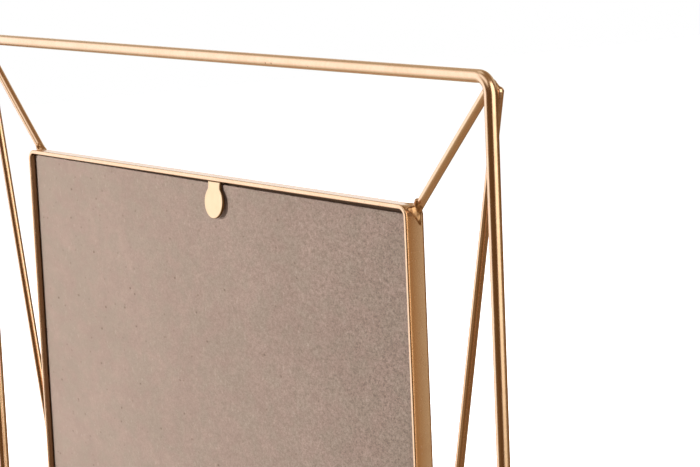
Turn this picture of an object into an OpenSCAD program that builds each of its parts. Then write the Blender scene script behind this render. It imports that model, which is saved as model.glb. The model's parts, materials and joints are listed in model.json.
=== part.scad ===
// Wire picture frame: a flat wire rectangle carries a strip-metal picture box
// on eight thin wires, and the frame hangs by the middle of its top wire.
// Origin: underside of the top wire at mid-span. +X is right seen from the
// front, +Y points to the wall behind, +Z is up.

/* [Picture] */
// Width of the glass and the print
picture_w = 203.2; // [150:0.1:260]
// Height of the glass and the print
picture_h = 254; // [200:0.1:320]
// Thickness of the glass pane
glass_t = 1.5; // [1:0.1:2]
// Thickness of the paper print
print_t = 0.2; // [0.1:0.05:0.4]
// Thickness of the backing board
board_t = 1.5; // [1:0.1:2]
// Room between the glass and the strip on each side
glass_clear = 0.35; // [0.1:0.05:0.8]
// Room between the board and the strip at the left and right
board_side_clear = 0.4; // [0.2:0.05:0.8]

/* [Picture box] */
// Thickness of the flat strip that the box is bent from
rail_t = 1.2; // [0.8:0.1:2]
// Depth of the strip, front to back
rail_depth = 6; // [5.5:0.1:9]
// Radius inside the bent corners of the strip
rail_corner_r = 2; // [1:0.1:4]
// Thickness of the front lip that stops the glass
lip_t = 0.8; // [0.5:0.1:1.2]
// How far the front lip covers the edge of the glass
lip_w = 3.5; // [2:0.1:6]

/* [Wires] */
// Diameter of the outer wire
wire_d = 3.5; // [2.5:0.1:5]
// Radius of the outer wire's bends, at its axis
bend_r = 4.3; // [3.5:0.1:12]
// Diameter of the thin wires
brace_d = 2.5; // [1.8:0.1:3.5]
// Distance from the box to the axis of the outer wire
margin = 35; // [25:0.5:60]
// Height of a side brace's foot above or below the middle of the box
brace_foot = 3.75; // [1:0.05:8]
// Distance from the outer corner to the centre of a side brace's round end
brace_end = 4; // [2.6:0.1:6]
// Gap between the outer wire and the plane of the thin wires in front of it
brace_gap = 0.3; // [0.1:0.05:0.6]
// How far a strut's outer end sits behind the plane of the braces
strut_lift = 1.4; // [0:0.1:1.6]
// Distance of a strut's outer end from the outer corner, along each side
strut_end = 1.8; // [1.2:0.1:3]

/* [Welds] */
// Radius of the round bead at each outer corner
corner_bead_r = 1.9; // [1.5:0.1:2.4]
// Reach of the weld web along each side of a box corner
web_reach = 4.2; // [3:0.1:6]
// Radius of the weld web's rim
web_r = 0.8; // [0.5:0.05:1.2]
// Radius of the bead where two side braces meet on the box
foot_bead_r = 1.7; // [1.4:0.1:2.2]
// How far that bead's centre sits behind the braces' axes
foot_bead_back = 0.4; // [0.2:0.1:1]
// How far that bead's centre sits under the face of the box
foot_bead_in = 0.3; // [0.2:0.1:0.8]

/* [Retaining tabs] */
// Thickness of a tab's sheet
tab_t = 0.8; // [0.5:0.05:1]
// Length of a tab from its bend line to its tip
tab_l = 11; // [8:0.1:14]
// Diameter of a tab's round end
tab_head_d = 9.8; // [8:0.1:12]
// Width of a tab's neck
tab_neck_w = 6.4; // [4:0.1:7]
// Radius that blends the neck into the round end
tab_blend_r = 4; // [2:0.1:8]
// Angle that a tab stands out from the board at rest
tab_tilt = 5; // [0:0.5:12]
// Gap between the board and a tab's neck
tab_gap = 0.2; // [0.15:0.05:0.6]
// Running clearance at a tab's bend line
tab_clear = 0.1; // [0.05:0.01:0.2]
// Room between a tab's foot and the pieces it passes
foot_clear = 0.3; // [0.1:0.05:0.6]
// Sideways place of the top tab from the middle
top_tab_x = -8.5; // [-40:0.5:40]

/* [Hidden] */
$fn = 48;
gold = [0.80, 0.60, 0.36];
pale_gold = [0.93, 0.80, 0.62];

opening_w = picture_w + 2 * glass_clear;
opening_h = picture_h + 2 * glass_clear;
box_w = opening_w + 2 * rail_t;
box_h = opening_h + 2 * rail_t;
rail_outer_r = rail_corner_r + rail_t;
outer_w = box_w + 2 * margin;
outer_h = box_h + 2 * margin;

top_axis_z = wire_d / 2;
mid_z = top_axis_z - outer_h / 2;
box_top_z = mid_z + box_h / 2;

// The strip's back edge is level with the back of the outer wire,
// and the stack of lip, glass, print and board is built up from its front.
back_y = wire_d / 2;
front_y = back_y - rail_depth;
glass_y = front_y + lip_t;
print_y = glass_y + glass_t;
board_y = print_y + print_t;
board_back_y = board_y + board_t;
brace_y = -(wire_d + brace_d) / 2 - brace_gap;

glass_corner_r = rail_corner_r - glass_clear;
// The board is short enough for the feet of the top and bottom tabs to pass it,
// and notched for the feet of the other two.
foot_room = tab_t + foot_clear;
board_w = opening_w - 2 * board_side_clear;
board_h = opening_h - 2 * foot_room;
board_corner_r = 0.6;

tab_axis_y = board_back_y + tab_gap + tab_t / 2;
tab_inset = tab_clear + tab_t / 2;

// Lengths that cutting shapes run past what they cut
past = 1;
bar_past = 4 * brace_d;
half_space = 20 * brace_d;

// Centre of an outer corner's bead from its strut's end: out, back and up
corner_bead_shift = [0.7, -0.1, 0.1];
// The weld web's core at a box corner: how far in from the faces, how far back
// from the strut's axis, and how much wider than the strut
web_core_in = 0.6;
web_core_back = 0.5;
web_core_extra = 1;
// How deep the web's rim lies under the faces, and how far back on the side
web_rim_in = 0.2;
web_side_back = 1;
// The web's tail towards the wall: how far in from the faces and how far back
web_tail_in = 1.2;
web_tail_back = 2.6;

// ---- Shared shapes ----

// Round bar between two points
module rod(a, b, d) {
    v = b - a;
    translate(a)
        rotate([0, acos(v.z / norm(v)), atan2(v.y, v.x)])
            cylinder(d = d, h = norm(v));
}

// Rectangle with round corners, centred
module round_rect(w, h, r) {
    square([w - 2 * r, h], center = true);
    square([w, h - 2 * r], center = true);
    for (sx = [-1, 1], sy = [-1, 1])
        translate([sx * (w / 2 - r), sy * (h / 2 - r)])
            circle(r = r);
}

// Flat outline stood upright about the middle of the box, from y0 back to y1
module upright(y0, y1) {
    translate([0, y1, mid_z])
        rotate([90, 0, 0])
            linear_extrude(y1 - y0)
                children();
}

// What is drawn for the upper right quarter, carried to one of the four quarters
module quarter(sx, sz) {
    translate([0, 0, mid_z])
        mirror([sx < 0 ? 1 : 0, 0, 0])
            mirror([0, 0, sz < 0 ? 1 : 0])
                translate([0, 0, -mid_z])
                    children();
}

// Full block of the picture box, which the thin wires are cut to
module box_block() {
    upright(front_y - past, back_y + past)
        round_rect(box_w, box_h, rail_outer_r);
}

// ---- Outer wire ----

module wire_run(length) {
    cylinder(d = wire_d, h = length, center = true);
}

module wire_bend() {
    translate([outer_w / 2 - bend_r, 0, top_axis_z - bend_r])
        rotate([90, 0, 0])
            rotate_extrude(angle = 90)
                translate([bend_r, 0])
                    circle(d = wire_d);
}

module outer_wire() {
    color(gold) {
        for (sz = [-1, 1])
            translate([0, 0, mid_z + sz * outer_h / 2])
                rotate([0, 90, 0])
                    wire_run(outer_w - 2 * bend_r);
        for (sx = [-1, 1])
            translate([sx * outer_w / 2, 0, mid_z])
                wire_run(outer_h - 2 * bend_r);
        for (sx = [-1, 1], sz = [-1, 1])
            quarter(sx, sz)
                wire_bend();
    }
}

// ---- Thin wires, drawn for the upper right quarter ----

brace_head = [outer_w / 2, brace_y, top_axis_z];
brace_base = [box_w / 2, brace_y, mid_z + brace_foot];
brace_dir = (brace_base - brace_head) / norm(brace_base - brace_head);
brace_top = brace_head + brace_dir * brace_end;

module brace_bar() {
    rod(brace_top, brace_base + brace_dir * bar_past, brace_d);
    translate(brace_top)
        sphere(d = brace_d);
}

module side_brace(sx, sz) {
    color(gold)
        quarter(sx, sz)
            difference() {
                brace_bar();
                box_block();
                translate([box_w / 2 - half_space / 2, brace_y - brace_d, mid_z - half_space])
                    cube([half_space, 2 * brace_d, half_space]);
            }
}

strut_out = [outer_w / 2 - strut_end, brace_y + strut_lift, top_axis_z - strut_end];
strut_in = [box_w / 2 - rail_outer_r, brace_y, box_top_z - rail_outer_r];

module strut_bar() {
    rod(strut_out, strut_in, brace_d);
}

module corner_strut(sx, sz) {
    color(gold)
        quarter(sx, sz)
            difference() {
                strut_bar();
                box_block();
                wire_bend();
                brace_bar();
            }
}

// ---- Picture box ----

module rail_strip() {
    color(gold)
        upright(front_y, back_y)
            difference() {
                round_rect(box_w, box_h, rail_outer_r);
                round_rect(opening_w, opening_h, rail_corner_r);
            }
}

module front_lip() {
    color(gold)
        upright(front_y, glass_y)
            difference() {
                round_rect(opening_w, opening_h, rail_corner_r);
                square([opening_w - 2 * lip_w, opening_h - 2 * lip_w], center = true);
            }
}

module glass_pane() {
    color("lightcyan", 0.4)
        upright(glass_y, print_y)
            round_rect(picture_w, picture_h, glass_corner_r);
}

module photo_print() {
    color("white")
        upright(print_y, board_y)
            round_rect(picture_w, picture_h, glass_corner_r);
}

module backing_board() {
    color([0.66, 0.58, 0.53])
        upright(board_y, board_back_y)
            difference() {
                round_rect(board_w, board_h, board_corner_r);
                for (sx = [-1, 1])
                    translate([sx * opening_w / 2, 0])
                        square([2 * foot_room, tab_neck_w + 2 * foot_clear], center = true);
            }
}

// ---- Retaining tabs ----
// A tab is drawn with its bend line on the X axis and its tip pointing down.

// Carries a tab to one side of the box: 0 is the top, then clockwise from the front
module on_side(turn, reach, shift) {
    translate([0, 0, mid_z])
        rotate([0, turn, 0])
            translate([shift, tab_axis_y, reach / 2 - tab_inset])
                children();
}

module tab_outline() {
    head_r = tab_head_d / 2;
    head_y = head_r - tab_l;
    blend_x = tab_neck_w / 2 + tab_blend_r;
    blend_y = head_y + sqrt(pow(head_r + tab_blend_r, 2) - pow(blend_x, 2));
    meet_x = blend_x * head_r / (head_r + tab_blend_r);
    meet_y = head_y + (blend_y - head_y) * head_r / (head_r + tab_blend_r);
    translate([0, head_y])
        circle(r = head_r);
    translate([-tab_neck_w / 2, head_y])
        square([tab_neck_w, -head_y]);
    difference() {
        translate([-meet_x, meet_y])
            square([2 * meet_x, min(blend_y, 0) - meet_y]);
        for (sx = [-1, 1])
            translate([sx * blend_x, blend_y])
                circle(r = tab_blend_r);
    }
}

module tab() {
    color(pale_gold)
        rotate([tab_tilt, 0, 0]) {
            translate([0, tab_t / 2, 0])
                rotate([90, 0, 0])
                    linear_extrude(tab_t)
                        tab_outline();
            rotate([0, 90, 0])
                cylinder(d = tab_t, h = tab_neck_w, center = true);
        }
}

module tab_foot() {
    foot_front = board_y + foot_clear - tab_axis_y;
    foot_back = -tab_t / 2 - tab_clear;
    color(pale_gold)
        translate([-tab_neck_w / 2, foot_front, tab_inset - tab_t])
            cube([tab_neck_w, foot_back - foot_front, tab_t]);
}

// ---- Welds ----

module outer_corner_welds() {
    color(gold)
        for (sx = [-1, 1], sz = [-1, 1])
            quarter(sx, sz)
                difference() {
                    translate(strut_out + corner_bead_shift)
                        sphere(r = corner_bead_r);
                    wire_bend();
                    brace_bar();
                    strut_bar();
                }
}

// Web that runs from a strut's foot onto both outer faces of the box
module box_corner_welds() {
    edge_x = box_w / 2;
    edge_z = box_top_z;
    color(gold)
        for (sx = [-1, 1], sz = [-1, 1])
            quarter(sx, sz)
                difference() {
                    hull() {
                        translate([edge_x - web_core_in, brace_y + web_core_back, edge_z - web_core_in])
                            sphere(d = brace_d + web_core_extra, $fn = 24);
                        translate([edge_x - web_reach, brace_y, edge_z - web_rim_in])
                            sphere(r = web_r, $fn = 16);
                        translate([edge_x - web_rim_in, brace_y + web_side_back, edge_z - web_reach])
                            sphere(r = web_r, $fn = 16);
                        translate([edge_x - web_tail_in, brace_y + web_tail_back, edge_z - web_tail_in])
                            sphere(r = web_r, $fn = 16);
                    }
                    box_block();
                    strut_bar();
                }
}

// Bead where the two side braces of a side meet on the box
module brace_foot_welds() {
    bead_at = [box_w / 2 - foot_bead_in, brace_y + foot_bead_back, mid_z];
    near = brace_dir * bar_past;
    color(gold)
        for (sx = [-1, 1])
            quarter(sx, 1)
                difference() {
                    translate(bead_at)
                        sphere(r = foot_bead_r);
                    box_block();
                    rod(brace_base - near, brace_base + near, brace_d);
                    quarter(1, -1)
                        rod(brace_base - near, brace_base + near, brace_d);
                }
}

outer_wire();
corner_strut(-1, 1);  // corner_strut_top_left
corner_strut(1, 1);  // corner_strut_top_right
corner_strut(-1, -1);  // corner_strut_bottom_left
corner_strut(1, -1);  // corner_strut_bottom_right
side_brace(-1, 1);  // side_brace_upper_left
side_brace(1, 1);  // side_brace_upper_right
side_brace(-1, -1);  // side_brace_lower_left
side_brace(1, -1);  // side_brace_lower_right
rail_strip();
front_lip();
glass_pane();
photo_print();
backing_board();
on_side(0, opening_h, top_tab_x) tab_foot();  // tab_foot_top
on_side(90, opening_w, 0) tab_foot();  // tab_foot_right
on_side(180, opening_h, 0) tab_foot();  // tab_foot_bottom
on_side(270, opening_w, 0) tab_foot();  // tab_foot_left
on_side(0, opening_h, top_tab_x) tab();  // tab_top
on_side(90, opening_w, 0) tab();  // tab_right
on_side(180, opening_h, 0) tab();  // tab_bottom
on_side(270, opening_w, 0) tab();  // tab_left
outer_corner_welds();
box_corner_welds();
brace_foot_welds();
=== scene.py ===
import json
import math
import bpy
import numpy as np
from mathutils import Matrix, Vector


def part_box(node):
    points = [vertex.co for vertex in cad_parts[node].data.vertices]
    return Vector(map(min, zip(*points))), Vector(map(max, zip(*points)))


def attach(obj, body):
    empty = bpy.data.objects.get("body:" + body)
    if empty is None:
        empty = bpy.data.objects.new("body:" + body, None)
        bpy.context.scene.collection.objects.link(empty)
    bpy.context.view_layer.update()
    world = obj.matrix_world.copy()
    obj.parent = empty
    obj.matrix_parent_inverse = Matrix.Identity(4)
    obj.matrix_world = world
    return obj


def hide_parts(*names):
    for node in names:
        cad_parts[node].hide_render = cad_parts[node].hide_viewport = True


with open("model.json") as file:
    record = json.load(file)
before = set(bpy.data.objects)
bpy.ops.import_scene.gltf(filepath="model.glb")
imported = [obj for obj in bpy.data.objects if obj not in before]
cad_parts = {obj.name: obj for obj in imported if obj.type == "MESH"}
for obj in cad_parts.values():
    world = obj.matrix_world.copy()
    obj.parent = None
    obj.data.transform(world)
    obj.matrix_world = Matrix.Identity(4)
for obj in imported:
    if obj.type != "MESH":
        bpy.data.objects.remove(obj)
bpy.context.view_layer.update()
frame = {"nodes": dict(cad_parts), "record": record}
print("frame loaded:", len(frame["nodes"]), "nodes")

mm = 0.001
rng = np.random.default_rng(20)


# ---- sizes read from the frame ----

wireLo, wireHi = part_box("outer_wire")
stripLo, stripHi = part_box("rail_strip")
lipLo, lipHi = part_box("front_lip")
glassLo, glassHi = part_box("glass_pane")
printLo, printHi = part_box("photo_print")
boardLo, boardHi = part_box("backing_board")
braceLo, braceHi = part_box("side_brace_upper_right")

wireRadius = (wireHi.y - wireLo.y) / 2
wireHalfX = wireHi.x - wireRadius        # axis of the outer wire
wireTopZ = wireHi.z - wireRadius
midZ = (wireHi.z + wireLo.z) / 2
wireHalfZ = wireTopZ - midZ
stripHalfX = stripHi.x
stripHalfZ = stripHi.z - midZ
thinRadius = (braceHi.y - braceLo.y) / 2
braceY = (braceHi.y + braceLo.y) / 2
stripThickness = stripHi.x - lipHi.x


# ---- mesh tools ----

# Faces between neighbouring rows and columns of a grid of points. The columns
# close on themselves. The rows do too with closed, or else each end has a flat
# face. along and around are the lengths at each row and column: the UV map.
def gridMesh(name, grid, along=None, around=None, closed=False, sharpAngle=40):
    nu, nv = grid.shape[:2]
    rows = np.arange(nu + 1 if closed else nu)
    cols = np.arange(nv + 1)
    i, j = np.meshgrid(rows[:-1], cols[:-1], indexing="ij")
    cornerI = np.stack([i, i + 1, i + 1, i], -1).reshape(-1, 4)
    cornerJ = np.stack([j, j, j + 1, j + 1], -1).reshape(-1, 4)
    faces = (cornerI % nu) * nv + cornerJ % nv
    points = grid.reshape(-1, 3)
    u = np.arange(len(rows), dtype=float) if along is None else np.asarray(along)
    v = np.arange(len(cols), dtype=float) if around is None else np.asarray(around)
    uv = np.stack([u[cornerI], v[cornerJ]], -1).reshape(-1, 2)
    flat = faces.reshape(-1)
    starts = np.arange(0, len(flat), 4)
    if not closed:
        ring = np.arange(nv)
        for order, row in ((ring[::-1], 0), (ring, nu - 1)):
            starts = np.append(starts, len(flat))
            flat = np.concatenate([flat, row * nv + order])
            uv = np.concatenate([uv, np.full((nv, 2), [u[row], v[0]])])
    return meshFrom(name, points, flat, starts, uv, sharpAngle)


# Mesh from points, corner numbers and each face's first corner, smooth but for
# its sharp edges
def meshFrom(name, points, flat, starts, uv, sharpAngle):
    mesh = bpy.data.meshes.new(name)
    mesh.vertices.add(len(points))
    mesh.vertices.foreach_set("co", np.ascontiguousarray(points, dtype=np.float32).ravel())
    mesh.loops.add(len(flat))
    mesh.loops.foreach_set("vertex_index", flat.astype(np.int32))
    mesh.polygons.add(len(starts))
    mesh.polygons.foreach_set("loop_start", starts.astype(np.int32))
    mesh.update(calc_edges=True)
    layer = mesh.uv_layers.new(name="surface")
    layer.data.foreach_set("uv", uv.astype(np.float32).ravel())
    mesh.validate()
    mesh.shade_smooth()
    mesh.set_sharp_from_angle(angle=math.radians(sharpAngle))
    piece = bpy.data.objects.new(name, mesh)
    bpy.context.scene.collection.objects.link(piece)
    return piece


def unit(v):
    return v / np.maximum(np.linalg.norm(v, axis=-1, keepdims=True), 1e-12)


# Running length along a path of points
def lengths(path):
    return np.concatenate([[0], np.cumsum(np.linalg.norm(np.diff(path, axis=0), axis=1))])


# Carries a ring of (out, back) offsets along a path that lies near an upright
# plane: out is square to the path in that plane, back is square to both.
def sweep(path, ring, wrap=False):
    if wrap:
        tangent = unit(np.roll(path, -1, 0) - np.roll(path, 1, 0))
    else:
        tangent = unit(np.gradient(path, axis=0))
    out = unit(np.cross(tangent, np.array([0.0, 1.0, 0.0])))
    back = np.cross(out, tangent)
    ring = np.broadcast_to(ring, (len(path),) + ring.shape[-2:])
    return path[:, None] + ring[..., :1] * out[:, None] + ring[..., 1:] * back[:, None]


# Points of a circle, counted so that swept faces point outwards
def circleRing(radius, count):
    a = np.linspace(0, 2 * np.pi, count, endpoint=False)
    return radius * np.stack([np.cos(a), np.sin(a)], -1)


# Rectangle with round corners in the XZ plane, clockwise seen from the front:
# straight stretches of even steps, and a quarter circle at each corner.
def roundedLoop(halfX, halfZ, radius, arcSteps, sideSteps):
    quarterTurn = np.linspace(0, np.pi / 2, arcSteps + 1)
    parts = []
    for k, (sx, sz) in enumerate(((1, 1), (1, -1), (-1, -1), (-1, 1))):
        a = np.pi / 2 - k * np.pi / 2 - quarterTurn
        centre = np.array([sx * (halfX - radius), sz * (halfZ - radius)])
        parts.append(centre + radius * np.stack([np.cos(a), np.sin(a)], -1))
    loop = []
    for k in range(4):
        loop.append(parts[k])
        start, end = parts[k][-1], parts[(k + 1) % 4][0]
        t = np.linspace(0, 1, sideSteps + 1)[1:-1, None]
        loop.append(start + t * (end - start))
    flat = np.concatenate(loop)
    return np.stack([flat[:, 0], np.zeros(len(flat)), flat[:, 1] + midZ], -1)


# Rounded edge of a plate from depth y0 to y1, as (inset, depth) pairs
def roundedEdge(y0, y1, radius, steps=5):
    a = np.linspace(0, np.pi / 2, steps)
    front = [(radius * (1 - math.sin(k)), y0 + radius * (1 - math.cos(k))) for k in a]
    back = [(radius * (1 - math.cos(k)), y1 - radius * (1 - math.sin(k))) for k in a]
    return front + back


def finishPiece(piece, body, node, material):
    piece.data.materials.append(material)
    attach(piece, body)
    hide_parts(node)


# ---- shader tools ----

# Holds a shader socket, so that sums on values read as sums
class Signal:
    def __init__(self, shade, socket):
        self.shade, self.socket = shade, socket

    def __add__(self, other):
        return self.shade.maths("ADD", self, other)

    def __radd__(self, other):
        return self.shade.maths("ADD", other, self)

    def __sub__(self, other):
        return self.shade.maths("SUBTRACT", self, other)

    def __rsub__(self, other):
        return self.shade.maths("SUBTRACT", other, self)

    def __mul__(self, other):
        return self.shade.maths("MULTIPLY", self, other)

    def __rmul__(self, other):
        return self.shade.maths("MULTIPLY", other, self)


# Adds nodes to a node tree
class Nodes:
    def __init__(self, tree):
        self.tree = tree

    def node(self, kind, settings=None, values=None, output=0):
        n = self.tree.nodes.new(kind)
        for key, value in (settings or {}).items():
            if key == "stops":
                ramp = n.color_ramp.elements
                while len(ramp) < len(value):
                    ramp.new(0.5)
                for element, (position, colour) in zip(ramp, value):
                    element.position, element.color = position, colour
            else:
                setattr(n, key, value)
        for key, value in (values or {}).items():
            if isinstance(value, Signal):
                self.tree.links.new(value.socket, n.inputs[key])
            else:
                n.inputs[key].default_value = value
        return Signal(self, n.outputs[output])

    def maths(self, operation, a, b=0.0):
        return self.node("ShaderNodeMath", {"operation": operation}, {0: a, 1: b})

    def scaled(self, source, scale, turn=(0, 0, 0)):
        return self.node("ShaderNodeMapping", {}, {"Vector": source, "Scale": scale, "Rotation": turn})

    def noise(self, source, scale, detail=2.0, rough=0.5):
        return self.node("ShaderNodeTexNoise", {}, {"Vector": source, "Scale": scale, "Detail": detail,
                                                    "Roughness": rough})

    def spots(self, source, scale):
        return self.node("ShaderNodeTexVoronoi", {}, {"Vector": source, "Scale": scale}, output="Distance")

    # Value carried from one range to another, and clamped there
    def ranged(self, value, fromLow, fromHigh, toLow=0.0, toHigh=1.0, smooth=False):
        kind = "SMOOTHSTEP" if smooth else "LINEAR"
        return self.node("ShaderNodeMapRange", {"interpolation_type": kind},
                         {"Value": value, "From Min": fromLow, "From Max": fromHigh,
                          "To Min": toLow, "To Max": toHigh})

    # Colour a where the factor is 0, and b where it is 1
    def mix(self, factor, a, b):
        return self.node("ShaderNodeMix", {"data_type": "RGBA"}, {0: factor, 6: a, 7: b}, output=2)

    def bump(self, height, distance):
        return self.node("ShaderNodeBump", {}, {"Height": height, "Distance": distance})


# A material with its main shader; fixed holds the shader's constant sockets
class Shade(Nodes):
    def __init__(self, name, fixed):
        self.material = bpy.data.materials.new(name)
        self.material.use_nodes = True
        super().__init__(self.material.node_tree)
        self.surface = self.tree.nodes["Principled BSDF"]
        for socket, value in fixed.items():
            self.surface.inputs[socket].default_value = value
        self.coords = self.node("ShaderNodeTexCoord", output="Object")
        self.uv = self.node("ShaderNodeTexCoord", output="UV")

    def feed(self, socket, signal):
        self.tree.links.new(signal.socket, self.surface.inputs[socket])


def rgb(r, g, b):
    return (r, g, b, 1.0)


# ---- gold finishes ----

goldSettings = {
    "wire": {"base": rgb(0.93, 0.62, 0.42), "deep": rgb(0.84, 0.50, 0.30), "roughness": 0.24,
             "grain": 0.05},
    "strip": {"base": rgb(0.93, 0.62, 0.41), "deep": rgb(0.82, 0.48, 0.28), "roughness": 0.25,
              "grain": 0.05},
    "weld": {"base": rgb(0.85, 0.50, 0.27), "deep": rgb(0.55, 0.27, 0.12), "roughness": 0.30,
             "grain": 0.12, "burnt": 0.55, "relief": 3.0},
    "tab": {"base": rgb(0.97, 0.70, 0.44), "deep": rgb(0.92, 0.62, 0.37), "roughness": 0.36,
            "grain": 0.05},
}
goldDepth = 0.004 * mm      # height of the relief

# The strip's colour carries painted shade: brown on the inner face inside the box,
# up to just short of the back edge, and a deeper orange on the outer faces at the sides,
# a painted reflection. The inside's and the outside's measures are from the inner face, the back's from
# the back edge.
stripPaintedShade = {"inside": rgb(0.16, 0.08, 0.03), "insideShare": 0.85, "insideEdge": 0.08 * mm,
                "backFrom": 0.35 * mm, "backTo": 0.1 * mm,
                "outside": rgb(0.95, 0.50, 0.24), "outsideShare": 0.8,
                "outsideFrom": 0.85 * mm, "outsideTo": 1.12 * mm}


# Satin plating: colour drifts slowly over centimetres, fine lines run along the
# wire, small dull specks and pits are scattered, and welds are darker.
def goldMaterial(name, key, lined=True):
    s = goldSettings[key]
    shade = Shade(name, {"Metallic": 1.0})
    drift = shade.noise(shade.coords, 90.0, 3.0, 0.55)
    cloud = shade.noise(shade.coords, 700.0, 3.0, 0.6)
    fine = shade.noise(shade.coords, 4200.0, 2.0, 0.6)
    if lined:
        stretched = shade.scaled(shade.uv, (160.0, 9000.0, 1.0))
    else:
        stretched = shade.scaled(shade.coords, (5200.0, 5200.0, 700.0))
    lines = shade.noise(stretched, 1.0, 3.0, 0.6)
    specks = shade.ranged(shade.spots(shade.coords, 330.0), 0.05, 0.11, 1.0, 0.0)
    specksHere = specks * shade.ranged(shade.noise(shade.coords, 60.0), 0.56, 0.66)
    tone = shade.ranged(0.6 * drift + 0.4 * cloud, 0.36, 0.66)
    colour = shade.mix(tone * 0.55, s["base"], s["deep"])
    colour = shade.mix(specksHere * 0.8, colour, rgb(0.20, 0.09, 0.03))
    if key == "weld":
        burnt = shade.ranged(shade.noise(shade.coords, 620.0, 3.0, 0.6), 0.50, 0.60)
        colour = shade.mix(burnt * s["burnt"], colour, rgb(0.13, 0.055, 0.02))
    # Painted shade: brown on the inner face inside the box, and a painted reflection in deeper orange on
    # the outer side faces
    if key == "strip":
        paintedShade = stripPaintedShade
        x, y, z = (shade.node("ShaderNodeSeparateXYZ", {}, {0: shade.coords}, output=k) for k in range(3))
        outX = shade.maths("ABSOLUTE", x) - lipHi.x
        outZ = shade.maths("ABSOLUTE", z - midZ) - (lipHi.z - midZ)
        shadedInside = shade.ranged(shade.maths("MAXIMUM", outX, outZ), 0.0, paintedShade["insideEdge"], 1.0, 0.0)
        fromBack = stripHi.y - y
        shadedInside = shadedInside * shade.ranged(fromBack, paintedShade["backTo"], paintedShade["backFrom"])
        colour = shade.mix(shadedInside * paintedShade["insideShare"], colour, paintedShade["inside"])
        outside = shade.ranged(outX, paintedShade["outsideFrom"], paintedShade["outsideTo"])
        colour = shade.mix(outside * paintedShade["outsideShare"], colour, paintedShade["outside"])
    rough = s["roughness"] + s["grain"] * (lines - 0.5) * 1.6 + s["grain"] * (cloud - 0.5) * 2.0
    rough = rough + specksHere * 0.25
    height = lines * 0.35 + fine * 0.35 + cloud * 1.2 - specksHere * 2.0
    shade.feed("Base Color", colour)
    shade.feed("Roughness", rough)
    shade.feed("Normal", shade.bump(height, goldDepth * s.get("relief", 1.0)))
    return shade.material


wireGold = goldMaterial("satin gold wire", "wire")
stripGold = goldMaterial("satin gold strip", "strip")
weldGold = goldMaterial("gold weld bead", "weld", lined=False)
tabGold = goldMaterial("pale gold tab", "tab", lined=False)


# ---- outer wire ----

outerWire = {"bendRadius": 4.3 * mm, "ringPoints": 40, "arcSteps": 20, "sideSteps": 60,
             "bow": 0.10 * mm, "endBow": 0.07 * mm, "flatInBend": 0.05,
             "seamRidge": 0.12 * mm, "seamWidth": 1.1 * mm, "grooveDepth": 0.9,
             "grooveWidth": 0.275 * mm}


# A circle carried round the rectangle. In the bends the section is a little
# flattened; at the closing weld a low ridge and a fine groove run round it.
def makeOuterWire():
    s = outerWire
    path = roundedLoop(wireHalfX, wireHalfZ, s["bendRadius"], s["arcSteps"], s["sideSteps"])
    along = lengths(np.vstack([path, path[:1]]))
    x, z = path[:, 0] / wireHalfX, (path[:, 2] - midZ) / wireHalfZ
    onSide, onEnd = np.abs(x) > 0.999, np.abs(z) > 0.999
    path[:, 0] -= np.where(onSide, s["bow"] * (1 - z ** 2) * np.sign(x), 0)
    path[:, 2] -= np.where(onEnd, s["endBow"] * (1 - x ** 2) * np.sign(z), 0)
    ring = circleRing(wireRadius, s["ringPoints"])
    cornerX = np.clip((np.abs(path[:, 0]) - (wireHalfX - s["bendRadius"])) / s["bendRadius"], 0, 1)
    cornerZ = np.clip((np.abs(path[:, 2] - midZ) - (wireHalfZ - s["bendRadius"])) / s["bendRadius"], 0, 1)
    inBend = np.sqrt(cornerX * cornerZ)
    rings = np.repeat(ring[None], len(path), 0)
    rings[..., 0] *= 1 - s["flatInBend"] * inBend[:, None]
    fromSeam = np.where(path[:, 2] < midZ - wireHalfZ * 0.99, np.abs(path[:, 0]), 1.0)
    bump = np.exp(-(fromSeam / s["seamWidth"]) ** 2)
    groove = s["grooveDepth"] * np.exp(-(fromSeam / s["grooveWidth"]) ** 2)
    ridge = s["seamRidge"] * (bump - groove)
    rings *= 1 + ridge[:, None, None] / wireRadius
    around = np.linspace(0, 2 * np.pi * wireRadius, s["ringPoints"] + 1)
    piece = gridMesh("outerWire", sweep(path, rings, wrap=True), along, around, closed=True)
    finishPiece(piece, "frame", "outer_wire", wireGold)


makeOuterWire()
print("outer wire made")


# ---- thin wires ----

thinWire = {"ringPoints": 28, "steps": 90, "endSteps": 9, "tip": 0.0004, "footSpan": 0.1 * mm,
            "braceBow": 0.101 * mm, "strutBow": 0.109 * mm, "footHeight": 3.75 * mm, "braceEnd": 4.0 * mm,
            "strutLift": 1.4 * mm, "strutEnd": 1.8 * mm, "sunk": 0.8 * mm, "cornerRadius": 3.2 * mm}


# Carries a grid made for the upper right quarter to another quarter. Mirrored
# once, a grid turns inside out, so its rows are taken backwards.
def quarterGrid(grid, sx, sz):
    placed = np.stack([grid[..., 0] * sx, grid[..., 1], midZ + (grid[..., 2] - midZ) * sz], -1)
    return placed[::-1] if sx * sz < 0 else placed


# Straight bar with a slight bow to the front or back; over its round start the
# radius grows from nothing as a circle's does. Rows crowd towards both ends.
def thinBar(start, end, bow):
    s = thinWire
    reach = thinRadius / np.linalg.norm(end - start)
    ease = reach * (1 - np.cos(np.linspace(0, np.pi / 2, s["endSteps"])))[:-1]
    t = np.concatenate([ease, np.linspace(reach, 1 - reach, s["steps"]), 1 - ease[::-1]])
    path = start + t[:, None] * (end - start)
    path[:, 1] += bow * np.sin(np.pi * t)
    radius = thinRadius * np.sqrt(np.clip(1 - np.clip(1 - t / reach, 0, 1) ** 2, s["tip"], 1))
    ring = circleRing(1.0, s["ringPoints"])
    grid = sweep(path, ring[None] * radius[:, None, None])
    return grid, lengths(path)


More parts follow.
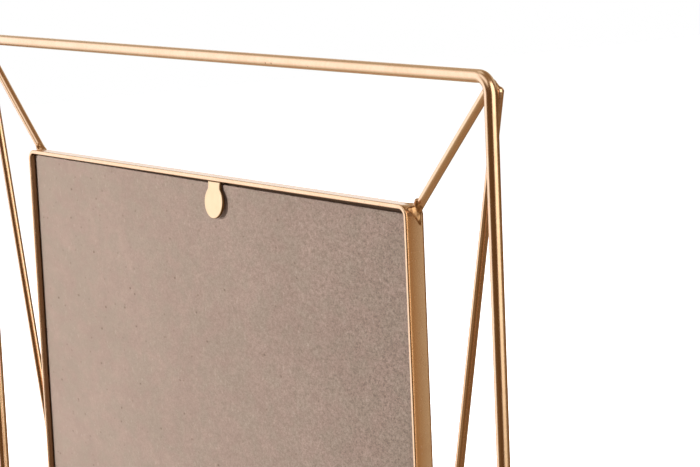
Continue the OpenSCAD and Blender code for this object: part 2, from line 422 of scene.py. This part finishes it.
# Braces run from near the outer corners to the middle of the box's sides, struts
# from the outer corners to the box's corners. Both sink into the strip, and a
# brace stops just past the middle, where the lower one meets it.
def makeThinWires():
    s = thinWire
    around = np.linspace(0, 2 * np.pi * thinRadius, s["ringPoints"] + 1)
    head = np.array([wireHalfX, braceY, wireTopZ])
    base = np.array([stripHalfX, braceY, midZ + s["footHeight"]])
    way = unit(base - head)
    braceStart = head + way * (s["braceEnd"] - thinRadius)
    braceGrid, braceAlong = thinBar(braceStart, base + way * 4 * thinRadius, s["braceBow"])
    braceGrid[..., 0] = np.maximum(braceGrid[..., 0], stripHalfX - s["sunk"])
    braceGrid[..., 2] = np.maximum(braceGrid[..., 2], midZ - s["footSpan"])
    strutOut = np.array([wireHalfX - s["strutEnd"], braceY + s["strutLift"], wireTopZ - s["strutEnd"]])
    corner = s["cornerRadius"] * (1 - math.sqrt(0.5)) + s["sunk"]
    strutIn = np.array([stripHalfX - corner, braceY, midZ + stripHalfZ - corner])
    strutGrid, strutAlong = thinBar(strutOut, strutIn, s["strutBow"])
    for level, cadLevel, sz in (("Upper", "top", 1), ("Lower", "bottom", -1)):
        for side, sx in (("Right", 1), ("Left", -1)):
            for kind, grid, along, node in (
                    ("sideBrace", braceGrid, braceAlong, f"side_brace_{level.lower()}_{side.lower()}"),
                    ("cornerStrut", strutGrid, strutAlong, f"corner_strut_{cadLevel}_{side.lower()}")):
                piece = gridMesh(kind + level + side, quarterGrid(grid, sx, sz), along, around)
                finishPiece(piece, "frame", node, wireGold)


makeThinWires()
print("thin wires made")


# ---- picture box ----

stripShape = {"insideRadius": 2.0 * mm, "edgeRadius": 0.42 * mm, "innerRadius": 0.25 * mm,
              "frontOut": 0.45 * mm, "frontBack": 0.85 * mm, "lean": 0.42 * mm, "deeper": 0.22 * mm,
              "hollow": 0.05 * mm, "arcSteps": 14, "sideSteps": 70, "edgeSteps": 10, "faceSteps": 10}


# Outline of the strip's section, in (out, back) from its middle: four quarter
# arcs joined by faces. The rear outer edge is rounded, the front outer edge
# more so, the inner ones less. The outer face leans in towards the front and
# is faintly hollow, so the strip is thinner at the front.
def stripSection():
    s = stripShape
    halfT, halfD = stripThickness / 2, (stripHi.y - stripLo.y) / 2
    front = halfD + s["deeper"]
    edge, inner = (s["edgeRadius"],) * 2, (s["innerRadius"],) * 2
    corners = ((halfT, halfD, edge, 1, 1), (-halfT, halfD, inner, -1, 1), (-halfT, -front, inner, -1, -1),
               (halfT - s["lean"], -front, (s["frontOut"], s["frontBack"]), 1, -1))
    arcs = []
    for k, (out, back, radii, outSign, backSign) in enumerate(corners):
        a = np.linspace(0, np.pi / 2, s["edgeSteps"]) + k * np.pi / 2
        centre = np.array([out - outSign * radii[0], back - backSign * radii[1]])
        arcs.append(centre + np.array(radii) * np.stack([np.cos(a), np.sin(a)], -1))
    points = []
    for k, arc in enumerate(arcs):
        points.append(arc)
        start, end = arc[-1], arcs[(k + 1) % 4][0]
        t = np.linspace(0, 1, s["faceSteps"] + 1)[1:-1, None]
        line = start + t * (end - start)
        if k == 3:
            line[:, 0] -= s["hollow"] * 4 * (t * (1 - t))[:, 0]
        points.append(line)
    return np.concatenate(points)


# The section carried round the box, along the middle of its thickness
def makeStrip():
    s = stripShape
    half = stripThickness / 2
    loop = roundedLoop(stripHalfX - half, stripHalfZ - half, s["insideRadius"] + half,
                       s["arcSteps"], s["sideSteps"])
    loop[:, 1] = (stripLo.y + stripHi.y) / 2
    ring = stripSection()
    along = lengths(np.vstack([loop, loop[:1]]))
    around = lengths(np.vstack([ring, ring[:1]]))
    piece = gridMesh("railStrip", sweep(loop, ring, wrap=True), along, around, closed=True)
    finishPiece(piece, "frame", "rail_strip", stripGold)


makeStrip()

lipShape = {"reach": 3.5 * mm, "edge": 0.25 * mm, "innerRadius": 0.15 * mm,
            "arcSteps": 10, "sideSteps": 20}


# Flat frame between a rounded outer loop and a nearly square inner one. Each
# point of its profile is a share of the way in and a depth.
def makeLip():
    s = lipShape
    outer = roundedLoop(lipHi.x, lipHi.z - midZ, stripShape["insideRadius"], s["arcSteps"], s["sideSteps"])
    inner = roundedLoop(lipHi.x - s["reach"], lipHi.z - midZ - s["reach"], s["innerRadius"],
                        s["arcSteps"], s["sideSteps"])
    edge = np.array(roundedEdge(lipLo.y, lipHi.y, s["edge"]))
    width = s["reach"]
    share = np.concatenate([[0, 0], 1 - edge[:, 0] / width])
    depth = np.concatenate([[lipHi.y, lipLo.y], edge[:, 1]])
    grid = outer[:, None] + share[None, :, None] * (inner - outer)[:, None]
    grid[..., 1] = depth[None, :]
    along = lengths(np.vstack([outer, outer[:1]]))
    around = lengths(np.stack([share * width, depth], -1))
    around = np.append(around, around[-1] + width)
    piece = gridMesh("frontLip", grid[::-1], along, around, closed=True)
    finishPiece(piece, "frame", "front_lip", stripGold)


makeLip()


# Flat plate: loops of points stepped in from an outline by (inset, depth) pairs,
# and a flat face at each end.
def plate(name, outline, steps):
    nxt, prv = np.roll(outline, -1, 0), np.roll(outline, 1, 0)
    tangent = unit(nxt - prv)
    inward = np.stack([tangent[:, 2], np.zeros(len(outline)), -tangent[:, 0]], -1)
    grid = np.stack([outline + inset * inward + np.array([0, depth, 0]) for inset, depth in steps])
    around = lengths(np.vstack([outline, outline[:1]]))
    along = lengths(np.array(steps))
    return gridMesh(name, grid, along, around)


# ---- glass, print and board ----

def glassMaterial():
    shade = Shade("picture glass", {"Base Color": rgb(0.97, 0.99, 0.98), "Roughness": 0.02, "IOR": 1.5,
                                    "Transmission Weight": 1.0})
    smears = shade.noise(shade.coords, 45.0, 3.0, 0.6)
    shade.feed("Roughness", shade.ranged(smears, 0.5, 0.75, 0.015, 0.05))
    return shade.material


# White paper in front; its back is painted near black brown as shade for the gap around the board; y0 and
# y1 are the depths of its faces
def paperMaterial(y0, y1):
    shade = Shade("plain paper", {"Roughness": 0.7})
    fibre = shade.noise(shade.coords, 1800.0, 4.0, 0.65)
    cloud = shade.noise(shade.coords, 60.0, 3.0, 0.5)
    tone = 0.5 * fibre + 0.5 * cloud
    depth = shade.node("ShaderNodeSeparateXYZ", {}, {0: shade.coords}, output=1)
    paintedShadeBack = shade.ranged(depth, y0 + 0.6 * (y1 - y0), y0 + 0.8 * (y1 - y0))
    colour = shade.mix(tone, rgb(0.80, 0.79, 0.76), rgb(0.86, 0.85, 0.82))
    # Painted shade: the back face is near black brown
    shade.feed("Base Color", shade.mix(paintedShadeBack, colour, rgb(0.075, 0.042, 0.024)))
    shade.feed("Normal", shade.bump(fibre, 0.01 * mm))
    return shade.material


# Bare fibreboard: clouds of pinkish and greenish grey over millimetres and
# centimetres, a fine soft grain that fades towards the right side, painted light
# that makes that side paler, and a few dark and pale specks pressed in.
def boardMaterial():
    shade = Shade("bare fibreboard", {"Roughness": 0.78})
    flat = shade.scaled(shade.coords, (0.72, 1.0, 1.0))
    wide = shade.noise(shade.coords, 30.0, 3.0, 0.55)
    cloud = shade.noise(flat, 240.0, 4.0, 0.6)
    grain = shade.noise(flat, 1250.0, 2.0, 0.6)
    fine = shade.noise(flat, 2900.0, 2.0, 0.6)
    hue = shade.noise(shade.scaled(flat, (1.0, 1.0, 1.0), (0.4, 0.2, 0.7)), 150.0, 3.0, 0.6)
    fibre = shade.noise(shade.scaled(flat, (1100.0, 1100.0, 520.0), (0, 0.5, 0)), 1.0, 3.0, 0.7)
    colour = shade.mix(shade.ranged(0.5 * wide + 0.5 * cloud, 0.40, 0.60),
                       rgb(0.424, 0.303, 0.249), rgb(0.482, 0.348, 0.288))
    colour = shade.mix(shade.ranged(hue, 0.42, 0.60) * 0.45, colour, rgb(0.392, 0.330, 0.256))
    speckle = shade.ranged(0.45 * grain + 0.55 * fine, 0.36, 0.64)
    across = shade.node("ShaderNodeSeparateXYZ", {}, {0: shade.coords}, output=0)
    grainAndShadedSide = shade.ranged(across, boardLo.x, boardHi.x, 1.0, 0.3)
    grainAndShadedSide = grainAndShadedSide * grainAndShadedSide
    # Painted light: up to a fifth paler towards the right side, as if lit from there; the speckle fades
    # the same way
    colour = shade.mix((1.0 - grainAndShadedSide) * 0.2, colour, rgb(0.53, 0.41, 0.34))
    colour = shade.mix(speckle * grainAndShadedSide, colour, rgb(0.195, 0.140, 0.110))
    pale = shade.ranged(fibre, 0.60, 0.70)
    colour = shade.mix(pale * 0.3, colour, rgb(0.62, 0.50, 0.42))
    dark = shade.ranged(shade.spots(flat, 480.0), 0.10, 0.24, 1.0, 0.0)
    darkHere = dark * shade.ranged(shade.noise(flat, 310.0), 0.53, 0.64)
    colour = shade.mix(darkHere * 0.7, colour, rgb(0.17, 0.11, 0.08))
    shade.feed("Base Color", colour)
    height = speckle * -0.3 + cloud * 0.6 + fibre * 0.3 - darkHere * 0.5
    shade.feed("Normal", shade.bump(height, 0.05 * mm))
    return shade.material


glassShape = {"cornerRadius": 1.6 * mm, "edge": 0.15 * mm, "shrunk": 0.01 * mm, "arcSteps": 8,
              "sideSteps": 4, "edgeSteps": 4}


# Glass with ground edges, a hair thinner than its place, and the thin sheet
# behind it, cut square
def makeGlassAndSheet():
    s = glassShape
    outline = roundedLoop(glassHi.x, glassHi.z - midZ, s["cornerRadius"], s["arcSteps"], s["sideSteps"])
    edge = roundedEdge(glassLo.y + s["shrunk"], glassHi.y - s["shrunk"], s["edge"], s["edgeSteps"])
    finishPiece(plate("glassPane", outline, edge), "frame", "glass_pane", glassMaterial())
    outline = roundedLoop(printHi.x, printHi.z - midZ, s["cornerRadius"], s["arcSteps"], s["sideSteps"])
    sheet = plate("photoPrint", outline, [(0.0, printLo.y), (0.0, printHi.y)])
    finishPiece(sheet, "frame", "photo_print", paperMaterial(printLo.y, printHi.y))


makeGlassAndSheet()

boardShape = {"cornerRadius": 0.7 * mm, "edge": 0.18 * mm, "aside": 0.25 * mm, "outOfSquare": 0.0041,
              "notchHalf": 3.5 * mm, "notchDepth": 0.7 * mm, "arcSteps": 6}


# The board lies a little to one side, its top edge is cut out of square, and a
# notch at the middle of each side clears the foot of a tab. The outline starts
# at the upper right corner, so the right notch follows that corner's points.
def makeBoard():
    s = boardShape
    loop = roundedLoop(boardHi.x, boardHi.z - midZ, s["cornerRadius"], s["arcSteps"], 1)
    perCorner = s["arcSteps"] + 1
    n, edge = s["notchHalf"], boardHi.x
    deep = edge - s["notchDepth"]
    notch = np.array([[edge, 0, midZ + n], [deep, 0, midZ + n], [deep, 0, midZ - n], [edge, 0, midZ - n]])
    turnedNotch = np.stack([-notch[:, 0], notch[:, 1], 2 * midZ - notch[:, 2]], -1)
    loop = np.concatenate([loop[:perCorner], notch, loop[perCorner:3 * perCorner], turnedNotch,
                           loop[3 * perCorner:]])
    share = np.clip((loop[:, 2] - midZ) / (boardHi.z - midZ), 0, 1)
    loop[:, 2] += s["outOfSquare"] * loop[:, 0] * share
    loop[:, 0] += s["aside"]
    piece = plate("backingBoard", loop, roundedEdge(boardLo.y, boardHi.y, s["edge"]))
    finishPiece(piece, "frame", "backing_board", boardMaterial())


makeBoard()
print("picture box made")


# ---- retaining tabs ----

tabShape = {"thickness": 0.8 * mm, "length": 10.7 * mm, "head": 4.9 * mm, "neck": 3.2 * mm,
            "blend": 1.2 * mm, "tilt": 5.0, "edge": 0.26 * mm, "overBend": 0.16 * mm,
            "uprightBelow": 0.6, "hollowSteps": 12, "headSteps": 34, "neckSteps": 6}


# Outline of a tab from its bend line down: straight neck, a hollow arc that
# meets the round end smoothly, and the round end; the other side mirrors it.
def tabOutline():
    s = tabShape
    headZ = s["head"] - s["length"]
    blendX = s["neck"] + s["blend"]
    blendZ = headZ + math.sqrt((s["head"] + s["blend"]) ** 2 - blendX ** 2)
    meet = math.atan2(blendZ - headZ, blendX)
    hollow = np.linspace(np.pi, np.pi + meet, s["hollowSteps"])
    flank = np.stack([blendX + s["blend"] * np.cos(hollow), blendZ + s["blend"] * np.sin(hollow)], -1)
    headArc = np.linspace(meet, -np.pi / 2, s["headSteps"])[1:]
    head = np.stack([s["head"] * np.cos(headArc), headZ + s["head"] * np.sin(headArc)], -1)
    neckZ = np.linspace(s["overBend"], blendZ, s["neckSteps"] + 1)[:-1]
    top = np.stack([np.full(s["neckSteps"], s["neck"]), neckZ], -1)
    right = np.concatenate([top, flank, head])
    left = right[:-1][::-1] * np.array([-1, 1])
    flat = np.concatenate([right, left])
    return np.stack([flat[:, 0], np.zeros(len(flat)), flat[:, 1]], -1)


# Each tab's side, its turn about the box's middle and a point of its bend line
def tabPlaces():
    joints = {j["name"]: j for j in frame["record"]["behaviour"]["joints"]}
    for side, turn in (("top", 0), ("right", 90), ("bottom", 180), ("left", 270)):
        joint = joints[f"tab_{side}_bend"]
        yield side, math.radians(turn), np.array(joint["pos_m"])


# Points turned about the depth axis, clockwise seen from the front
def turned(points, angle):
    c, n = math.cos(angle), math.sin(angle)
    x, y, z = points[..., 0], points[..., 1], points[..., 2]
    return np.stack([x * c + z * n, y, -x * n + z * c], -1)


# Cut edge of the sheet: painted shade makes it dark brown, standing in for the shadowed board it mirrors;
# fine drag marks run through its thickness
def edgeMaterial():
    shade = Shade("tab edge painted shade", {"Metallic": 1.0})
    marks = shade.noise(shade.scaled(shade.coords, (3500.0, 900.0, 3500.0)), 1.0, 3.0, 0.6)
    shade.feed("Base Color", shade.mix(marks, rgb(0.14, 0.075, 0.03), rgb(0.30, 0.17, 0.08)))
    shade.feed("Roughness", 0.36 + marks * 0.2)
    shade.feed("Normal", shade.bump(marks, 0.01 * mm))
    return shade.material


shadedTabEdge = edgeMaterial()


# Each blade is the outline with rounded edges, tilted off the board and turned
# to its side; its upright edge faces carry the dark painted shade.
def makeTabs():
    s = tabShape
    tilt = math.radians(s["tilt"])
    half = s["thickness"] / 2
    outline = tabOutline()
    for side, turn, place in tabPlaces():
        blade = plate("tab" + side.capitalize(), outline, roundedEdge(-half, half, s["edge"]))
        co = np.empty(len(blade.data.vertices) * 3, dtype=np.float32)
        blade.data.vertices.foreach_get("co", co)
        p = co.reshape(-1, 3)
        y, z = p[:, 1].copy(), p[:, 2].copy()
        p[:, 1], p[:, 2] = y * math.cos(tilt) - z * math.sin(tilt), y * math.sin(tilt) + z * math.cos(tilt)
        p[:] = turned(p, turn) + place
        blade.data.vertices.foreach_set("co", p.ravel())
        blade.data.update()
        finishPiece(blade, "tab_" + side, "tab_" + side, tabGold)
        # the upright edge faces take the dark brown painted shade
        blade.data.materials.append(shadedTabEdge)
        normals = np.empty(len(blade.data.polygons) * 3, dtype=np.float32)
        blade.data.polygons.foreach_get("normal", normals)
        faceOut = turned(np.array([0.0, math.cos(tilt), math.sin(tilt)]), turn)
        upright = np.abs(normals.reshape(-1, 3) @ faceOut) < s["uprightBelow"]
        blade.data.polygons.foreach_set("material_index", upright.astype(np.int32))


makeTabs()
print("tabs made")


# ---- weld beads ----

# Each weld is a few bars that flow together. Bars end at points set off from the
# box's or the wire's corner, as (out, back, up), and have a radius at each end.
boxWeld = {"back": 0.2 * mm, "stub": 2.2 * mm, "stubRadii": np.array([1.15, 1.45]) * mm,
           "lobe": 1.7 * mm, "lobeAside": np.array([-0.5, 0.9, 0.5]) * mm,
           "lobeRadii": np.array([0.7, 1.2]) * mm,
           "ridgeEnd": np.array([-4.8, 1.6, -0.55]) * mm, "ridgeRadii": np.array([1.0, 0.5]) * mm,
           "webBars": 5, "webTop": np.array([-0.1, 0.0, -0.3]) * mm, "webSpan": 3.6 * mm,
           "webFoot": np.array([-0.62, 0.2, -5.2]) * mm, "webRadii": np.array([0.9, 0.4]) * mm,
           "webThinning": 0.3 * mm, "blend": 0.16 * mm, "sunk": 0.9 * mm, "frontCut": 1.2 * mm,
           "centre": 0.3 * mm, "reach": 8.0 * mm}
outerWeld = {"strutRadii": np.array([1.1, 0.95]) * mm, "bendEnd": np.array([-0.55, -1.35, -1.3]) * mm,
             "bendRadii": np.array([0.4, 0.3]) * mm, "tail": np.array([-1.6, 0.3, -1.6]) * mm,
             "tailRadii": np.array([1.2, 1.2]) * mm, "blend": 0.2 * mm, "reach": 6.0 * mm}
footWeld = {"centre": np.array([0.1, 0.2, 0.0]) * mm, "half": np.array([0.0, 0.0, 3.0]) * mm,
            "barRadii": np.array([0.95, 0.95]) * mm, "lobe": np.array([0.2, 0.5, 0.2]) * mm,
            "lobeRadii": np.array([1.25, 1.1]) * mm, "blend": 0.25 * mm, "sunk": 0.7 * mm,
            "reach": 6.0 * mm}
beadShape = {"rows": 36, "columns": 48, "pole": 0.0006, "halvings": 22, "waves": 5,
             "lump": 0.10 * mm, "pitch": 1.3 * mm}


# Distance from points to a bar between a and b, whose radius changes evenly
# from the first to the second
def barDistance(p, a, b, radii):
    t = np.clip(((p - a) @ (b - a)) / ((b - a) @ (b - a)), 0, 1)
    away = np.linalg.norm(p - (a + t[..., None] * (b - a)), axis=-1)
    return away - (radii[0] + t * (radii[1] - radii[0]))


# Smooth least of several distances: nearby shapes flow together over width k
def blended(distances, k):
    d = np.stack(distances)
    return -k * np.log(np.exp(-np.clip(d, -9 * k, 9 * k) / k).sum(0))


# Surface seen from a centre: along each direction the distance is halved down
# to where the shape's distance is zero. Lumps come from a few random waves.
def beadGrid(centre, distance, reach):
    s = beadShape
    polar = np.linspace(s["pole"], np.pi - s["pole"], s["rows"])
    turn = np.linspace(0, 2 * np.pi, s["columns"], endpoint=False)
    way = np.stack([np.sin(polar)[:, None] * np.cos(turn), np.sin(polar)[:, None] * np.sin(turn),
                    np.cos(polar)[:, None] * np.ones(s["columns"])], -1)
    low, high = np.zeros((s["rows"], s["columns"])), np.full((s["rows"], s["columns"]), reach)
    phases = rng.uniform(0, 6.28, (s["waves"], 3))
    tones = rng.uniform(0.6, 1.5, (s["waves"], 3)) / s["pitch"]

    def lumps(p):
        return sum(np.prod(np.sin(p * w + f), -1) for w, f in zip(tones, phases)) * s["lump"]

    for step in range(s["halvings"]):
        mid = (low + high) / 2
        p = centre + way * mid[..., None]
        inside = distance(p) + lumps(p) < 0
        low, high = np.where(inside, mid, low), np.where(inside, high, mid)
    return centre + way * low[..., None]


# Depth under the outer faces of the box, with its round corner
def depthInBox(p):
    r = thinWire["cornerRadius"]
    qx = p[..., 0] - (stripHalfX - r)
    qz = p[..., 2] - (midZ + stripHalfZ - r)
    outside = np.sqrt(np.maximum(qx, 0) ** 2 + np.maximum(qz, 0) ** 2)
    return r - outside - np.minimum(np.maximum(qx, qz), 0)


# The three kinds of weld in the upper right quarter: a stub, a lobe and a ridge
# at the box's corner with a web down its side; the strut's end, the brace's end
# and a thread to the bend at the outer corner; a long bead with a lobe where the
# braces meet. Those on the box are cut a little way under its faces.
def weldShapes():
    s = thinWire
    slope = math.sqrt(0.5)
    up = np.array([slope, 0, slope])
    boxEdge = np.array([stripHalfX, braceY, midZ + stripHalfZ])
    rounding = s["cornerRadius"] * (1 - slope)
    corner = boxEdge + np.array([-rounding, boxWeld["back"], -rounding])

    def boxCorner(p):
        w = boxWeld
        parts = [barDistance(p, corner + up * w["stub"], corner, w["stubRadii"]),
                 barDistance(p, corner + up * w["lobe"] + w["lobeAside"], corner, w["lobeRadii"]),
                 barDistance(p, corner, boxEdge + w["ridgeEnd"], w["ridgeRadii"])]
        for share in np.linspace(0, 1, w["webBars"]):
            top = corner + w["webTop"] + np.array([0, share * w["webSpan"], 0])
            radii = w["webRadii"] - np.array([share * w["webThinning"], 0])
            parts.append(barDistance(p, top, boxEdge + w["webFoot"], radii))
        underFaces = depthInBox(p) - w["sunk"]
        beforeFront = braceY - w["frontCut"] - p[..., 1]
        return np.maximum(np.maximum(blended(parts, w["blend"]), underFaces), beforeFront)

    wireCorner = np.array([wireHalfX, braceY, wireTopZ])
    outPoint = wireCorner + np.array([-s["strutEnd"], s["strutLift"], -s["strutEnd"]])
    braceFoot = np.array([stripHalfX, braceY, midZ + s["footHeight"]])
    braceTop = wireCorner + unit(braceFoot - wireCorner) * s["braceEnd"]
    bendFront = np.array([wireHalfX, 0, wireTopZ]) + outerWeld["bendEnd"]

    def outerCorner(p):
        w = outerWeld
        parts = [barDistance(p, outPoint, braceTop, w["strutRadii"]),
                 barDistance(p, braceTop, bendFront, w["bendRadii"]),
                 barDistance(p, outPoint, outPoint + w["tail"], w["tailRadii"])]
        return blended(parts, w["blend"])

    footCentre = np.array([stripHalfX, braceY, midZ]) + footWeld["centre"]

    def footBead(p):
        w = footWeld
        parts = [barDistance(p, footCentre + w["half"], footCentre - w["half"], w["barRadii"]),
                 barDistance(p, footCentre, footCentre + w["lobe"], w["lobeRadii"])]
        return np.maximum(blended(parts, w["blend"]), depthInBox(p) - w["sunk"])

    boxCentre = corner + up * boxWeld["centre"]
    return (("boxCornerWeld", "box_corner_welds", boxCentre, boxCorner, boxWeld["reach"], True),
            ("outerCornerWeld", "outer_corner_welds", (outPoint + braceTop) / 2, outerCorner,
             outerWeld["reach"], True),
            ("braceFootWeld", "brace_foot_welds", footCentre, footBead, footWeld["reach"], False))


# Each weld is worked out afresh for its quarter, so that no two have the same
# lumps; the beads at the braces' feet are only two
def makeWelds():
    for name, node, centre, distance, reach, allCorners in weldShapes():
        quarters = ((1, 1), (-1, 1), (1, -1), (-1, -1)) if allCorners else ((1, 1), (-1, 1))
        for k, (sx, sz) in enumerate(quarters):
            grid = beadGrid(centre, distance, reach)
            piece = gridMesh(f"{name}{k + 1}", quarterGrid(grid, sx, sz), sharpAngle=75)
            finishPiece(piece, "frame", node, weldGold)


makeWelds()
print("welds made")

for name in ("tab_foot_top", "tab_foot_bottom", "tab_foot_left", "tab_foot_right"):
    foot = frame["nodes"][name]
    foot.data.materials.clear()
    foot.data.materials.append(tabGold)
print("tab feet dressed")


# ---- camera, floor and light ----

# place in metres, lens in millimetres
cameraSettings = {"place": (-0.62164, 0.38329, 0.05782), "view": (0.80945, -0.56766, -0.15014),
                  "right": (-0.57898, -0.81421, -0.04304), "lens": 128.9}


def makeCamera():
    s = cameraSettings
    forward = Vector(s["view"]).normalized()
    right = Vector(s["right"])
    right = (right - forward * right.dot(forward)).normalized()
    up = right.cross(forward)
    data = bpy.data.cameras.new("camera")
    data.lens, data.sensor_width = s["lens"], 36.0
    data.clip_start, data.clip_end = 0.01, 100.0
    camera = bpy.data.objects.new("camera", data)
    turn = Matrix((right, up, -forward)).transposed()
    camera.matrix_world = Matrix.Translation(s["place"]) @ turn.to_4x4()
    bpy.context.scene.collection.objects.link(camera)
    bpy.context.scene.camera = camera


makeCamera()

floorShape = {"size": 6.0, "glow": 0.96}


# Pale floor: it takes the object's shadow, and a little light of its own brings
# it up to the white of the room for the camera. The wires don't mirror it: they
# see the room's own tone below the horizon.
def makeFloor():
    z = wireLo.z
    h = floorShape["size"] / 2
    mesh = bpy.data.meshes.new("floor")
    mesh.from_pydata([(-h, -h, z), (h, -h, z), (h, h, z), (-h, h, z)], [], [(0, 1, 2, 3)])
    floor = bpy.data.objects.new("floor", mesh)
    bpy.context.scene.collection.objects.link(floor)
    floor.visible_glossy = False
    shade = Shade("floor", {"Base Color": rgb(0.80, 0.80, 0.80), "Roughness": 0.9,
                            "Emission Color": rgb(1, 1, 1)})
    seen = shade.node("ShaderNodeLightPath", output="Is Camera Ray")
    through = shade.node("ShaderNodeLightPath", output="Is Transmission Ray")
    shade.feed("Emission Strength", floorShape["glow"] * (seen + through))
    mesh.materials.append(shade.material)


makeFloor()

# The room as the metal sees it: soft panels between two bearings and two heights,
# in degrees, each with its soft edge. Bearing 0 is the camera's side, 90 its
# right, 180 the wall behind the object.
roomPanels = {
    # name: from, to, edge, low, edge, high, edge, tone
    "leftWall": (-142, -89, 13, -31, 27, 38, 16, 1.42),
    "leftCeiling": (-104, -26, 16, 26, 14, 57, 12, 1.22),
    "leftFloor": (-112, -36, 14, -60, 12, -19, 9, 0.33),
    "backWall": (-196, -140, 12, -12, 12, 22, 12, 1.15),
    "backDim": (-204, -136, 14, -44, 12, 50, 12, 0.47),
    "rightDim": (96, 152, 12, -44, 10, -6, 12, 0.20),
    "rightNear": (58, 89, 8, -21, 12, -6, 10, 0.46),
    "frontSoft": (104, 162, 14, 6, 8, 42, 10, 0.55),
    "backCeiling": (-174, -108, 14, 46, 8, 80, 8, 0.80),
}
boxPanel = (16, 69, 8, -13, 9, 50, 6, 2.02)
# tones of the rest of the room, and the tint that goes with each tone
roomTone = {"floor": 0.26, "side": 0.07, "ceiling": 0.13,
            "floorFade": (-62.0, -22.0), "ceilingFade": (25.0, 70.0),
            "boxTint": rgb(1.0, 1.0, 0.87), "boxTintGain": 2.0, "tintScale": 0.7,
            "tints": ((0.04, rgb(1.75, 1.0, 0.42)), (0.14, rgb(1.40, 1.0, 0.57)),
                      (0.25, rgb(1.18, 1.0, 0.68)), (0.40, rgb(1.02, 1.0, 0.83)),
                      (0.62, rgb(0.98, 1.0, 0.95)), (0.95, rgb(0.97, 1.02, 1.08)))}
fillTone = rgb(0.08, 0.067, 0.053)


# Shiny surfaces see the panels, matt ones a plain low fill, and the camera white
def makeWorld():
    world = bpy.data.worlds.new("studio")
    bpy.context.scene.world = world
    world.use_nodes = True
    tree = world.node_tree
    tree.nodes.clear()
    shade = Nodes(tree)
    way = shade.node("ShaderNodeTexCoord", output="Generated")
    view = Vector(cameraSettings["view"])
    length = math.hypot(view.x, view.y)
    towards = (-view.x / length, -view.y / length, 0.0)     # from the object to the camera
    rightward = (view.y / length, -view.x / length, 0.0)

    # Share of a direction that lies along an axis
    def along(axis):
        return shade.node("ShaderNodeVectorMath", {"operation": "DOT_PRODUCT"}, {0: way, 1: axis},
                          output="Value")

    nearness, sideness = along(towards), along(rightward)
    height = shade.maths("ARCSINE", along((0.0, 0.0, 1.0))) * (180 / math.pi)

    # The tone inside the panel, falling to 0 over its soft edges
    def panel(start, end, edge, low, lowEdge, high, highEdge, tone):
        a = math.radians((start + end) / 2)
        halfWidth = (end - start) / 2
        ahead = nearness * math.cos(a) + sideness * math.sin(a)
        aside = sideness * math.cos(a) - nearness * math.sin(a)
        turn = shade.maths("ABSOLUTE", shade.maths("ARCTAN2", aside, ahead)) * (180 / math.pi)
        wide = shade.ranged(turn, halfWidth - edge, halfWidth + edge, 1.0, 0.0, smooth=True)
        above = shade.ranged(height, low - lowEdge, low + lowEdge, smooth=True)
        below = shade.ranged(height, high - highEdge, high + highEdge, 1.0, 0.0, smooth=True)
        return wide * above * below * tone

    t = roomTone
    tone = shade.ranged(height, *t["floorFade"], t["floor"], t["side"], smooth=True)
    tone = tone + shade.ranged(height, *t["ceilingFade"], 0.0, t["ceiling"], smooth=True)
    for settings in roomPanels.values():
        tone = shade.maths("MAXIMUM", tone, panel(*settings))
    tint = shade.node("ShaderNodeValToRGB", {"stops": t["tints"]}, {"Fac": tone * t["tintScale"]})
    box = panel(*boxPanel)
    tint = shade.mix(box * t["boxTintGain"], tint, t["boxTint"])
    mirrored = shade.node("ShaderNodeVectorMath", {"operation": "SCALE"},
                          {0: tint, "Scale": shade.maths("MAXIMUM", tone, box)})
    plainFill = shade.node("ShaderNodeCombineXYZ", {}, {0: fillTone[0], 1: fillTone[1], 2: fillTone[2]})
    glossy = shade.node("ShaderNodeLightPath", output="Is Glossy Ray")
    seen = shade.node("ShaderNodeLightPath", output="Is Camera Ray")
    through = shade.node("ShaderNodeLightPath", output="Is Transmission Ray")
    colour = shade.mix(glossy, plainFill, mirrored)
    colour = shade.mix(shade.maths("MAXIMUM", seen, through), colour, rgb(1, 1, 1))
    background = tree.nodes.new("ShaderNodeBackground")
    tree.links.new(colour.socket, background.inputs["Color"])
    output = tree.nodes.new("ShaderNodeOutputWorld")
    tree.links.new(background.outputs[0], output.inputs[0])


makeWorld()

lampSettings = (
    # name, bearing, height in degrees, distance, width and height, power
    ("leftLamp", -81.0, 8.0, 2.6, (0.32, 0.7), 57.0),
    ("frontLamp", 150.0, 40.0, 1.6, (1.0, 1.0), 37.0),
)
lampAim = 0.6      # share of the way down to the middle of the frame


# Soft lamps for the matt surfaces; the metal sees the room's panels instead
def makeLamps():
    middle = Vector((0, 0, midZ * lampAim))
    view = Vector(cameraSettings["view"])
    for name, bearing, height, distance, size, power in lampSettings:
        turn = math.atan2(-view.y, -view.x) + math.radians(bearing)
        e = math.radians(height)
        way = Vector((math.cos(turn) * math.cos(e), math.sin(turn) * math.cos(e), math.sin(e)))
        data = bpy.data.lights.new(name, "AREA")
        data.shape, data.size, data.size_y, data.energy = "RECTANGLE", size[0], size[1], power
        lamp = bpy.data.objects.new(name, data)
        lamp.matrix_world = (Matrix.Translation(middle + way * distance)
                             @ way.to_track_quat("Z", "Y").to_matrix().to_4x4())
        lamp.visible_glossy = False
        lamp.visible_camera = False
        bpy.context.scene.collection.objects.link(lamp)


makeLamps()
bpy.context.scene.view_settings.view_transform = "Standard"
print("stage set")
